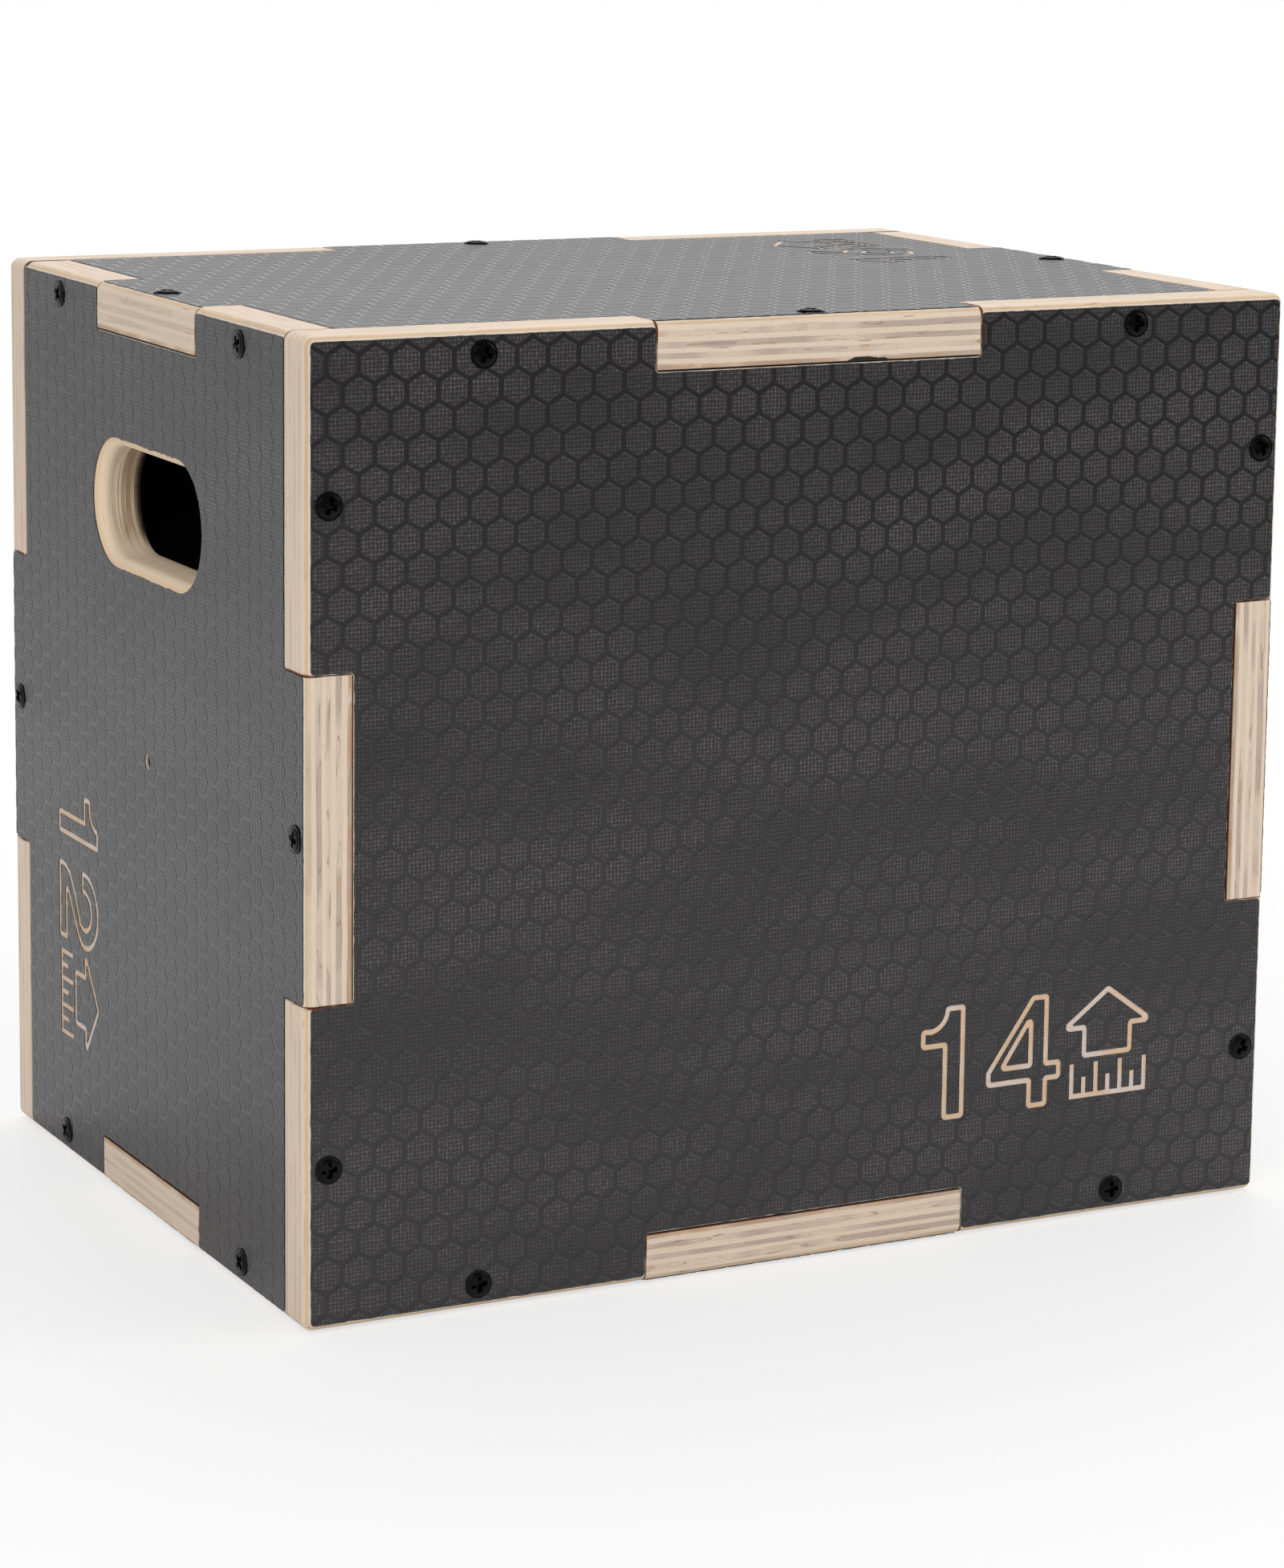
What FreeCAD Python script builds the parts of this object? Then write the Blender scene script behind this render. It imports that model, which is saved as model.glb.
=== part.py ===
"""Plyo box: six film-faced plywood panels, finger-jointed at all twelve edges and held by countersunk screws.

Frame: millimetres, +Z up, X along the front and -Y out of the front. The origin is the middle of the base,
level with the screw heads that the box stands on.
"""

import FreeCAD, Part
import math
import os

V = FreeCAD.Vector

# The assembled box, measured over its panels
BOX_WIDTH = 406.4
BOX_DEPTH = 304.8
BOX_HEIGHT = 355.6

# Film-faced plywood sheet
PLY = 18.0           # the whole sheet, both films included
FILM = 0.4           # each of the two films
EDGE_ROUND = 4.0     # round routed along the twelve outer edges once the box is assembled

# Finger joints: each edge of the box is shared out in equal fingers
FINGERS = 3
FINGER_GAP = 0.5     # room left round each tab in its notch
NOTCH_CORNER = 2 * FINGER_GAP  # as large a flat in a notch's inner corner as a square tab still clears

# Hand-hole, one in each side panel
HANDLE_LENGTH = 106.0
HANDLE_HEIGHT = 43.0
HANDLE_DROP = 83.0   # from the top of the box to the middle of the hand-hole
HANDLE_ROUND = 5.5   # round on the outer rim

# Small drilled hole in the middle of the left panel
CENTRE_HOLE = 5.0

# Countersunk wood screws, drawn with flat-sided rounds and driven tight
SCREW_FLATS = 8
HEAD_DIAMETER = 10.4
HEAD_TOP_DIAMETER = 9.4
HEAD_PROUD = 1.0     # how far a head stands out of the film
SHANK_DIAMETER = 4.5
SCREW_REACH = 45.0   # from the film's face to the point
POINT_LENGTH = 6.0

# How far a cutting or trimmed shape runs past the finished one
OVERRUN = 6.0

BASE_Z = HEAD_PROUD
TOP_Z = BASE_Z + BOX_HEIGHT
MID_Z = (BASE_Z + TOP_Z) / 2
QUARTER_TURN = 90

EAST, NORTH, UP = V(1, 0, 0), V(0, 1, 0), V(0, 0, 1)
ORIGIN = V(0, 0, 0)


class Face:
    """One face of the box and the panel behind it, in a local frame: x to the right and y up as seen from
    outside, z outwards, with the origin in the middle of the outer face."""

    def __init__(self, name, size, centre, right, up, joints):
        self.name = name
        self.size = size
        self.joints = joints
        self.place = FreeCAD.Placement(centre, FreeCAD.Rotation(right, up, right.cross(up), "ZXY"))

    def side(self, turn):
        """For the side that faces right, up, left or down: half the face across it, its length, its joint."""
        across, along = self.size[turn % 2], self.size[1 - turn % 2]
        return across / 2, along, self.joints[turn % 2]

    def body_half(self, axis):
        """Half the panel's own body along x or y, without its tabs."""
        half = self.size[axis] / 2
        return half - PLY if self.joints[axis] == "tab" else half


FACES = [
    Face("front", (BOX_WIDTH, BOX_HEIGHT), V(0, -BOX_DEPTH / 2, MID_Z), EAST, UP, ("notch", "notch")),
    Face("back", (BOX_WIDTH, BOX_HEIGHT), V(0, BOX_DEPTH / 2, MID_Z), -EAST, UP, ("notch", "notch")),
    Face("left", (BOX_DEPTH, BOX_HEIGHT), V(-BOX_WIDTH / 2, 0, MID_Z), -NORTH, UP, ("tab", "notch")),
    Face("right", (BOX_DEPTH, BOX_HEIGHT), V(BOX_WIDTH / 2, 0, MID_Z), NORTH, UP, ("tab", "notch")),
    Face("top", (BOX_WIDTH, BOX_DEPTH), V(0, 0, TOP_Z), EAST, NORTH, ("tab", "tab")),
    Face("bottom", (BOX_WIDTH, BOX_DEPTH), V(0, 0, BASE_Z), EAST, -NORTH, ("tab", "tab")),
]
WITH_HANDLE = ("left", "right")
WITH_CENTRE_HOLE = ("left",)


def block(x0, x1, y0, y1, z0, z1):
    """A square-cornered block between two corners."""
    return Part.makeBox(x1 - x0, y1 - y0, z1 - z0, V(x0, y0, z0))


def turned(shape, turn):
    """The shape turned by quarter turns about z."""
    shape.rotate(ORIGIN, UP, QUARTER_TURN * turn)
    return shape


def placed(shape, place):
    """A copy of the shape, moved by a placement."""
    copy = shape.copy()
    copy.Placement = place.multiply(copy.Placement)
    return copy


def nearest_edge(shape, point):
    """The edge whose middle is nearest to a point."""
    return min(shape.Edges, key=lambda edge: edge.CenterOfMass.distanceToPoint(point))


def faceted(profile):
    """A flat-sided solid about z: a ring of corners at each (radius, height), closed to a point at the end."""
    def ring(radius, height):
        turns = [2 * math.pi * step / SCREW_FLATS for step in range(SCREW_FLATS + 1)]
        return [V(radius * math.cos(turn), radius * math.sin(turn), height) for turn in turns]

    def face(*corners):
        return Part.Face(Part.makePolygon(corners + corners[:1]))

    *rings, tip = [ring(radius, height) for radius, height in profile]
    sides = [face(*rings[0][:-1])]
    for upper, lower in zip(rings, rings[1:]):
        sides += [face(upper[n], upper[n + 1], lower[n + 1], lower[n]) for n in range(SCREW_FLATS)]
    sides += [face(rings[-1][n], rings[-1][n + 1], tip[n]) for n in range(SCREW_FLATS)]
    return Part.Solid(Part.Shell(sides))


def screw():
    """A countersunk screw with a raised head, head upwards, with the film's face at height zero."""
    head, shank = HEAD_DIAMETER / 2, SHANK_DIAMETER / 2
    return faceted([
        (HEAD_TOP_DIAMETER / 2, HEAD_PROUD),
        (head, 0),
        (shank, shank - head),
        (shank, POINT_LENGTH - SCREW_REACH),
        (0, -SCREW_REACH),
    ])


def tab(half, along):
    """A tab that stands out to the right, long enough to be trimmed to the box."""
    reach = along / FINGERS / 2 - FINGER_GAP
    return block(0, half + OVERRUN, -reach, reach, -PLY, OVERRUN)


def notch(half, along):
    """The cutter for a notch in the right-hand side, with flats in its inner corners."""
    reach = along / FINGERS / 2
    floor = half - PLY - FINGER_GAP
    cutter = block(floor, half + 2 * OVERRUN, -reach, reach, -PLY - OVERRUN, 2 * OVERRUN)
    corners = [nearest_edge(cutter, V(floor, y, (OVERRUN - PLY) / 2)) for y in (-reach, reach)]
    return cutter.makeChamfer(NOTCH_CORNER, corners)


def blank(face):
    """The panel with its fingers, still square and oversize where the box's envelope will trim it."""
    half = [face.body_half(axis) + (OVERRUN if face.joints[axis] == "notch" else 0) for axis in (0, 1)]
    shape = block(-half[0], half[0], -half[1], half[1], -PLY, OVERRUN)
    for turn in range(4):
        across, along, joint = face.side(turn)
        if joint == "tab":
            shape = shape.fuse(turned(tab(across, along), turn))
        else:
            shape = shape.cut(turned(notch(across, along), turn))
    return shape.removeSplitter()


def envelope():
    """The whole box as one block with its twelve edges routed round."""
    whole = block(-BOX_WIDTH / 2, BOX_WIDTH / 2, -BOX_DEPTH / 2, BOX_DEPTH / 2, BASE_Z, TOP_Z)
    return whole.makeFillet(EDGE_ROUND, whole.Edges)


def with_handle(shape, face):
    """Cuts the hand-hole, a slot with round ends, and rounds its outer rim."""
    middle = face.size[1] / 2 - HANDLE_DROP
    end = HANDLE_HEIGHT / 2
    straight = HANDLE_LENGTH / 2 - end
    slot = block(-straight, straight, middle - end, middle + end, -PLY - OVERRUN, OVERRUN)
    for x in (-straight, straight):
        slot = slot.fuse(Part.makeCylinder(end, PLY + 2 * OVERRUN, V(x, middle, -PLY - OVERRUN)))
    shape = shape.cut(slot.removeSplitter())
    return shape.makeFillet(HANDLE_ROUND, [nearest_edge(shape, V(0, middle + end, 0))])


def screw_places(face):
    """Where the panel is screwed down: once in each tab, and once in each finger beside a notch."""
    places = []
    for turn in range(4):
        across, along, joint = face.side(turn)
        spin = FreeCAD.Rotation(UP, QUARTER_TURN * turn)
        finger = (along / FINGERS / 2 + face.body_half(1 - turn % 2)) / 2
        for y in (0,) if joint == "tab" else (-finger, finger):
            spot = spin.multVec(V(across - PLY / 2, y, 0))
            places.append(face.place.multiply(FreeCAD.Placement(spot, FreeCAD.Rotation())))
    return places


def sheet(face, whole):
    """The panel in its local frame, films and all, before it is screwed down."""
    shape = blank(face).common(placed(whole, face.place.inverse()))
    if face.name in WITH_HANDLE:
        shape = with_handle(shape, face)
    if face.name in WITH_CENTRE_HOLE:
        shape = shape.cut(Part.makeCylinder(CENTRE_HOLE / 2, PLY + 2 * OVERRUN, V(0, 0, -PLY - OVERRUN)))
    return shape


def slab(face, inset, z0, z1):
    """A block over the face, set in from its sides, between two depths."""
    x, y = face.size[0] / 2 - inset, face.size[1] / 2 - inset
    return block(-x, x, -y, y, z0, z1)


def film(face, whole_sheet):
    """The outer film, cut square where the rounds have gone through it."""
    under = slab(face, 0, -PLY, -FILM).common(whole_sheet)
    top = max(under.Faces, key=lambda side: side.CenterOfMass.z)
    return top.extrude(V(0, 0, FILM))


def liner(face, whole_sheet):
    """The inner film, as far as it lines the inside of the box."""
    return whole_sheet.common(slab(face, PLY + FINGER_GAP, -PLY, FILM - PLY))


def core(face, whole_sheet):
    """The plywood between the films."""
    return whole_sheet.common(slab(face, 0, -PLY, -FILM)).cut(liner(face, whole_sheet))


def save(solid, node):
    """Writes one sub-part."""
    assert solid.isValid() and len(solid.Solids) == 1, node
    solid.Solids[0].exportStep("parts/" + node + ".step")


def main():
    os.makedirs("parts", exist_ok=True)
    whole = envelope()
    screws = {face.name: [placed(screw(), place) for place in screw_places(face)] for face in FACES}
    every_screw = sum(screws.values(), [])
    for face in FACES:
        panel = sheet(face, whole)
        for kind, layer in ("film", film), ("panel", core), ("liner", liner):
            save(placed(layer(face, panel), face.place).cut(every_screw), face.name + "_" + kind)
        for number, driven in enumerate(screws[face.name], 1):
            save(driven, face.name + "_screw_" + str(number))


main()
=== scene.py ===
"""Plyo box: hexagon-embossed films, bare plywood edges, engraved height marks and cross-recess screws.

Metres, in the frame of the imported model: +Z up, -Y out of the front, and the floor at zero.
"""

import math
import random

import bmesh
import bpy
from mathutils import Matrix, Vector
from mathutils.geometry import delaunay_2d_cdt


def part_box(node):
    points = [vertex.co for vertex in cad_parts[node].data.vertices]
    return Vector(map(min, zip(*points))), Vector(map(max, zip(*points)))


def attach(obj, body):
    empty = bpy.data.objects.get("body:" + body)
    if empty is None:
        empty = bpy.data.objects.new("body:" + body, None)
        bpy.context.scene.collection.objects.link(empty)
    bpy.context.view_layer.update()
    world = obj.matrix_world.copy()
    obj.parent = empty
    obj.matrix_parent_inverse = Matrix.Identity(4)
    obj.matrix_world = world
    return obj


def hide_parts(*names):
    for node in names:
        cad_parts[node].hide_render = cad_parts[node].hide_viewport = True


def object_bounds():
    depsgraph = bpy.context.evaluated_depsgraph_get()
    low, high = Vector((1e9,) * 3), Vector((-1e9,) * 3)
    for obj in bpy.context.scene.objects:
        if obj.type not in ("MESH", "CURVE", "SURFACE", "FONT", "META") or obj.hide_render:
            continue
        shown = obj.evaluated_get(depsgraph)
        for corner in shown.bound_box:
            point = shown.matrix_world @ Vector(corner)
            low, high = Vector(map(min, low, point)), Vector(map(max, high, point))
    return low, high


# Finger joints, as the panels are cut
FINGERS = 3
FINGER_GAP = 0.0005

# Outer film: what is left of it at cut edges, and its embossed hexagons
ROUND_INSET = 0.00226         # from the box's outline to where the routed round has gone through the film
FRINGE = 0.0003               # strip of bare wood along a notch
NOTCH_ROUND = 0.0016
CORNER_ROUND = 0.0015
SEAM = 0.0011                 # open line along the end of a panel that butts against another, with painted shade on the wood in it
RAGGED_STEP = 0.0022
RAGGED_SIZE = 0.00007
HANDLE_RAGGED_SIZE = 0.0002
HEX_PITCH = 0.0121
HEX_ACROSS = 0.01035
HEX_WALL = 0.00016            # how wide a hexagon's steep side is
HEX_DEPTH = 0.00009
WEAVE_PITCH = 0.0015
WEAVE_BEND = 0.0009           # how far the threads stray
FILM_RELIEF = 0.00012

# Hand-hole and the small hole in the left panel
HANDLE_LENGTH = 0.106
HANDLE_HEIGHT = 0.043
HANDLE_DROP = 0.083           # from the top of the panel to the hand-hole's middle
HANDLE_FILM_INSET = 0.00344   # from the hand-hole to the edge of the film round it
HANDLE_RIM = (0.0024, 0.0006)     # the peach rim, from none at the first depth to full at the second
# how far the edge of the painted shade at the inner end of the hand-hole's wall strays
HANDLE_SHADE_FRAY = 0.001
CENTRE_HOLE_RADIUS = 0.0025
CENTRE_HOLE_RIM = 0.0005
# painted shade inside the small hole, from none at the first depth to full at the second
CENTRE_HOLE_SHADE = (0.0008, 0.0018)

# Screws
HEAD_RADIUS = 0.0052
HEAD_PROUD = 0.001
FLANGE_SHARE = 0.84           # of the head's radius, where its dome rises from a flat ring
FLANGE_RISE_SHARE = 0.45      # of how far the head stands proud, up to the flat ring
HEAD_RING_SHARES = (1, 0.86, 0.84, 0.82, 0.78, 0.7)
HEAD_ROOM = 0.00004           # between the head and the film's hole
SHANK_RADIUS = 0.00225
SCREW_REACH = 0.045
POINT_LENGTH = 0.006
RECESS_REACH = 0.0031
RECESS_HALF_SLOT = 0.001
RECESS_DEPTH = 0.0019
RECESS_TAPER = 0.00045
THREAD_PITCH = 0.0022
THREAD_HEIGHT = 0.0006

# Height marks
MARK_HEIGHT = 0.0424          # between the middles of the outermost strokes
MARK_STROKE = 0.0022
MARK_DEPTH = 0.0003
MARK_OUTER_ROUND = 0.0019
MARK_INNER_ROUND = 0.0003
MARK_RELIEF = 0.0001

# Plywood. A cell of its grain is a length along the plies and a thickness through them
PLIES = 9
PLY_WAVE = 0.0009             # how far the border of a ply strays
VENEER = 0.0014               # the outermost ply
BARE_STRIP = (0.0009, 0.0006)     # the pale strip beside the film, from none at the first depth to full
WAVE_CELL = (0.06, 0.014)
LAYER_CELL = (1.0, 0.005)
STREAK_CELL = (0.05, 0.0011)
PORE_CELL = (0.0012, 0.0006)
RING_CELL = (0.03, 0.0028)
GLUE_CELL = (0.03, 0.004)
FIBRE_CELL = (0.006, 0.00022)
CRACK_CELL = (0.02, 0.0011)
PATCH_LENGTH = 0.045
TAN_LENGTH = 0.03
WOOD_RELIEF = 0.00012

# Burns that the cutter left on the plywood, and painted shade in the gaps and seams at the joints
SCORCH = 0.0008               # half the width of a brown line beside a finger
SCORCH_LEAD = (0.004, 0.002)      # how far before the joint the brown line starts, and is full
SINGE_LENGTH = 0.016
SINGE_DEPTH = (0.0021, 0.0012)    # how far from a tab's inner edge the brown starts, and is full
GAP_SHADE_LINE = 0.0004
GAP_SHADE_BLOT = 0.0013
GAP_SHADE_LENGTH = 0.04
TAB_LEAD = 0.001
NOTCH_LEAD = 0.002
BEHIND_FILM = (0.0006, 0.001)
SEAM_SHADE_LEAD = 0.05              # how far the seams' painted shade changes from the front to the back is drawn out

# Noise cells in a metre
WEAVE_BEND_SCALE = 260.0
SHEEN_SCALES = (7.0, -20.0, 1.0)  # painted sheen, right and down the face
SPECK_SCALE = 700.0
GROUND_SCALE = 90.0
FILM_GRAIN_SCALE = 2500.0
MARK_PATCH_SCALE = 45.0
MARK_FIBRE_SCALES = (300.0, 2500.0, 1.0)
SCORCH_SCALE = 120.0
HANDLE_SHADE_FRAY_SCALE = 400.0
LINER_SCALE = 60.0
WEAR_SCALE = 900.0
SCREW_GRAIN_SCALE = 1600.0
FLOOR_SCALE = 3.0

# Stage
FLOOR_REACH = 30.0
SHADOW_REACH = (0.3, 0.9)     # the floor is lit within the first distance, and plain white past the second
SHADOW_LIFT = 0.65            # how much of the floor's white is its own within the first distance
NEAR_REACH = (1.6, 0.6)       # the floor in front is white in reflections, from none to full
IN_FRONT = (0.0, -0.2)        # where the floor in front starts, and is full
ROOM_REACH = (0.9, 2.0)       # the floor past this is part of a dimmer room
BEHIND = (0.0, 0.5)           # how far back the studio turns white in reflections
BEHIND_SHARE = 0.63           # how white the floor behind is in reflections
LOW = (0.6, 0.25)             # how high up the studio behind stays white in reflections
AMBIENT = 0.63
GLOSSY_CUT = 0.43             # how much weaker the light from all round is in reflections
LAMPS = [
    # name, place, size and power
    ("key", (1.75, -0.97, 1.08), 1.2, 10),
    ("side", (-1.7, -2.1, 1.6), 1.6, 26),
    ("overhead", (0.44, 0.88, 2.1), 1.4, 20),
]
LAMP_AIM = (0, 0, 0.18)

# Camera: where the photograph was taken from, in degrees, metres and the photograph's pixels
PHOTO_HIGH = 1954
AZIMUTH, ELEVATION, ROLL = -27.3, 9.28, 0.68
FOCAL_PIXELS = 5552.6
HORIZON_PIXEL = 700
BOX_IN_VIEW = (-0.0062, 0.0629, 1.7761)   # the box's middle seen from the camera: right, down and ahead

# Meshes
MERGE = 1e-8                  # points nearer to each other than this are one
ROUND_STEPS = 32              # round a screw's head and its hole, and round each end of a hand-hole
CENTRE_HOLE_STEPS = 20
STRAIGHT = 80                 # degrees in half a corner, past which it isn't rounded
SHARP = 35                    # degrees between two faces of a screw, past which their edge looks sharp

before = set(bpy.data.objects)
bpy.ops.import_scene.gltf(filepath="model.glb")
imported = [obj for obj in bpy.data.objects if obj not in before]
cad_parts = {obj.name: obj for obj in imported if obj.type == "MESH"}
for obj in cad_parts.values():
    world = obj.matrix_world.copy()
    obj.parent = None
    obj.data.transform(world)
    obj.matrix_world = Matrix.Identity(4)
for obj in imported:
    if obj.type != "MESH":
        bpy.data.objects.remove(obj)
CAD_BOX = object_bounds()
RANDOM = random.Random(14)


class Face:
    """One face of the box in its own frame: x right and y up as seen from outside, z out from the film."""

    def __init__(self, name, right, up, joints, hex_rows, hex_at):
        self.name = name
        self.joints = joints
        self.hex_rows = hex_rows
        self.hex_at = Vector(hex_at)
        self.right, self.up = Vector(right), Vector(up)
        self.out = self.right.cross(self.up)
        panel_low, panel_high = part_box(name + "_panel")
        film_low, film_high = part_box(name + "_film")
        panel_span, film_span = panel_high - panel_low, film_high - film_low
        self.size = (abs(panel_span.dot(self.right)), abs(panel_span.dot(self.up)))
        self.film = abs(film_span.dot(self.out))
        self.ply = self.film + abs(panel_span.dot(self.out))
        middle = (panel_low + panel_high) / 2
        outside = (film_low + film_high).dot(self.out) / 2 + self.film / 2
        self.centre = middle + self.out * (outside - middle.dot(self.out))
        self.axes = Matrix((self.right, self.up, self.out)).transposed()

    def at(self, point):
        """A local point in the frame of the box."""
        return self.centre + self.axes @ Vector(point)

    def to_local(self, point):
        return self.axes.transposed() @ (Vector(point) - self.centre)


FACES = [
    Face("front", (1, 0, 0), (0, 0, 1), ("notch", "notch"), "along_x", (-0.159, 0.0311)),
    Face("back", (-1, 0, 0), (0, 0, 1), ("notch", "notch"), "along_x", (0.002, 0.004)),
    Face("left", (0, -1, 0), (0, 0, 1), ("tab", "notch"), "along_y", (0.003, -0.002)),
    Face("right", (0, 1, 0), (0, 0, 1), ("tab", "notch"), "along_y", (-0.004, 0.001)),
    Face("top", (1, 0, 0), (0, 1, 0), ("tab", "tab"), "along_x", (0.001, 0.002)),
    Face("bottom", (1, 0, 0), (0, -1, 0), ("tab", "tab"), "along_x", (-0.002, 0.003)),
]
WITH_HANDLE = ("left", "right")
WITH_CENTRE_HOLE = ("left",)


# Outlines in a face's plane

def arc(centre, radius, start, end, steps):
    """Points on a circle from one angle to another, in degrees."""
    angles = [math.radians(start + (end - start) * n / steps) for n in range(steps + 1)]
    return [Vector((centre[0] + radius * math.cos(a), centre[1] + radius * math.sin(a))) for a in angles]


def circle(centre, radius, steps):
    return arc(centre, radius, 0, 360 * (steps - 1) / steps, steps - 1)


def slot(centre, length, height, steps):
    """A slot with round ends."""
    end = height / 2
    straight = length / 2 - end
    right = arc((centre[0] + straight, centre[1]), end, -90, 90, steps)
    return right + arc((centre[0] - straight, centre[1]), end, 90, 270, steps)


def rounded(loop, radius, steps=4):
    """Rounds a loop's corners: radius is a number, or a function of whether the loop turns left there."""
    points = []
    for before, corner, after in zip(loop[-1:] + loop[:-1], loop, loop[1:] + loop[:1]):
        back, ahead = before - corner, after - corner
        turn = ahead.cross(back)
        size = radius(turn > 0) if callable(radius) else radius
        half = back.angle(ahead) / 2
        if half > math.radians(STRAIGHT):
            points.append(corner)
            continue
        reach = size / math.tan(half)
        first, last = corner + back.normalized() * reach, corner + ahead.normalized() * reach
        middle = corner + (back.normalized() + ahead.normalized()).normalized() * size / math.sin(half)
        for n in range(steps + 1):
            spoke = (first - middle).lerp(last - middle, n / steps).normalized()
            points.append(middle + spoke * size)
    return points


def ragged(loop, size):
    """The loop broken into short steps that stray a little to either side, as a torn film does."""
    points = []
    for point, after in zip(loop, loop[1:] + loop[:1]):
        run = after - point
        steps = max(1, round(run.length / RAGGED_STEP))
        across = Vector((-run.y, run.x)).normalized()
        points.append(point)
        points += [point + run * n / steps + across * RANDOM.gauss(0, size) for n in range(1, steps)]
    return points


def offset(loop, distance):
    """The loop moved outwards, with mitred corners. The loop runs anticlockwise."""
    points = []
    for before, corner, after in zip(loop[-1:] + loop[:-1], loop, loop[1:] + loop[:1]):
        first, last = (corner - before).normalized(), (after - corner).normalized()
        normals = Vector((first.y, -first.x)) + Vector((last.y, -last.x))
        points.append(corner + normals * (2 * distance / normals.length_squared))
    return points


def film_outline(face):
    """The film's outline: tabs that reach over the joints, and notches for the other panels' tabs."""
    points = []
    for turn in range(4):
        half, along = face.size[turn % 2] / 2, face.size[1 - turn % 2]
        reach = along / FINGERS / 2
        side, next_side = outer_edge(face, turn), outer_edge(face, (turn + 1) % 4)
        spin = Matrix.Rotation(math.radians(90) * turn, 2)
        if face.joints[turn % 2] == "tab":
            reach -= FINGER_GAP
            middle = half - ROUND_INSET
        else:
            reach += FRINGE
            middle = half - face.ply - FINGER_GAP - FRINGE
        corners = [(side, -reach), (middle, -reach), (middle, reach), (side, reach), (side, next_side)]
        points += [spin @ Vector(corner) for corner in corners]
    return rounded(points, lambda left: CORNER_ROUND if left else NOTCH_ROUND)


def outer_edge(face, turn):
    """How far the film's own body reaches to the right, up, left or down, without its tabs."""
    half = face.size[turn % 2] / 2
    return half - face.ply - SEAM if face.joints[turn % 2] == "tab" else half - ROUND_INSET


def screw_nodes(face):
    return sorted(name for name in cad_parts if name.startswith(face.name + "_screw_"))


def screw_spot(face, node):
    """The middle of a screw's head, in the face's plane."""
    low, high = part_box(node)
    spot = face.to_local((low + high) / 2)
    return Vector((spot.x, spot.y))


def film_holes(face):
    """Loops that the film is open in."""
    spots = [screw_spot(face, node) for node in screw_nodes(face)]
    holes = [circle(spot, HEAD_RADIUS + HEAD_ROOM, ROUND_STEPS) for spot in spots]
    if face.name in WITH_HANDLE:
        middle = (0, face.size[1] / 2 - HANDLE_DROP)
        length, height = HANDLE_LENGTH + 2 * HANDLE_FILM_INSET, HANDLE_HEIGHT + 2 * HANDLE_FILM_INSET
        holes.append(ragged(slot(middle, length, height, ROUND_STEPS), HANDLE_RAGGED_SIZE))
    if face.name in WITH_CENTRE_HOLE:
        holes.append(circle((0, 0), CENTRE_HOLE_RADIUS + CENTRE_HOLE_RIM, CENTRE_HOLE_STEPS))
    return holes


# Height marks: outlined numbers, an arrow and a short rule, in shares of the numbers' height

def shares(*points):
    return [Vector(p) for p in points]


def one():
    """A straight stem, and a flag that curves away from its top."""
    curve = arc((0.05, 1), 0.2, 0, -80, 8)
    flag = shares((0, 0.81), (0, 0.67), (0.23, 0.67))
    return [shares((0.23, 0), (0.41, 0), (0.41, 1)) + curve + flag]


def two():
    """A round bowl, and a slanted neck that swings into a straight base."""
    bowl = (0.35, 0.65)
    base = shares((0, 0), (0.7, 0), (0.7, 0.167), (0.2, 0.167))
    rising = shares((0.25, 0.228), (0.374, 0.315), (0.51, 0.405), (0.63, 0.512), (0.675, 0.563))
    falling = shares((0.42, 0.497), (0.27, 0.412), (0.15, 0.333), (0.067, 0.26), (0.02, 0.175), (0, 0.09))
    return [base + rising + arc(bowl, 0.35, -5, 187, 24) + arc(bowl, 0.183, 193, -42, 22) + falling]


def four():
    outer = shares((0.43, 0), (0.6, 0), (0.6, 0.24), (0.74, 0.24), (0.74, 0.375), (0.6, 0.375),
                   (0.6, 1), (0.46, 1), (0, 0.35), (0, 0.24), (0.43, 0.24))
    return [outer, shares((0.135, 0.375), (0.44, 0.375), (0.44, 0.83))]


def six():
    bowl = (0.34, 0.33)
    return [arc(bowl, 0.33, 145.5, 445.6, 30) + shares((0.6, 1), (0.4, 1)), circle(bowl, 0.15, 24)]


def arrow():
    head = shares((0.71, 0.262), (0.93, 0.262), (0.465, 0.6), (0, 0.262), (0.22, 0.262))
    return [shares((0.22, 0), (0.71, 0)) + head]


def rule():
    """A short rule: a line with ticks, long and short in turn."""
    ticks = 7
    half, length, long_tick, short_tick = 0.025, 0.83, 0.33, 0.2
    inner = length - 2 * half
    points = shares((length, 0), (length, long_tick), (inner, long_tick), (inner, 2 * half))
    for n in reversed(range(1, ticks - 1)):
        x = half + inner * n / (ticks - 1)
        top = short_tick if n % 2 else long_tick
        points += shares((x + half, 2 * half), (x + half, top), (x - half, top), (x - half, 2 * half))
    return points + shares((2 * half, 2 * half), (2 * half, long_tick), (0, long_tick), (0, 0))


DIGITS = {"1": one, "2": two, "4": four, "6": six}
MARKS = {
    # face: the number, the mark's lower left corner, its turn in degrees and where its second digit starts
    "front": ("14", (0.0494, -0.1308), 0, 0.69),
    "left": ("12", (-0.0984, -0.0285), -90, 0.718),
    "top": ("16", (0.1562, 0.0076), 90, 0.715),
}
ARROW_SHARES = (1.482, 0.402)
RULE_SHARES = (1.55, 0.003)


def stroke(loop):
    """The two edges of a stroke along a closed line, with round joins."""
    half = MARK_STROKE / 2
    outer = rounded(offset(loop, half), lambda left: MARK_OUTER_ROUND if left else MARK_INNER_ROUND)
    inner = rounded(offset(loop, -half), lambda left: MARK_INNER_ROUND if left else MARK_OUTER_ROUND)
    return [outer, inner]


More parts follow.
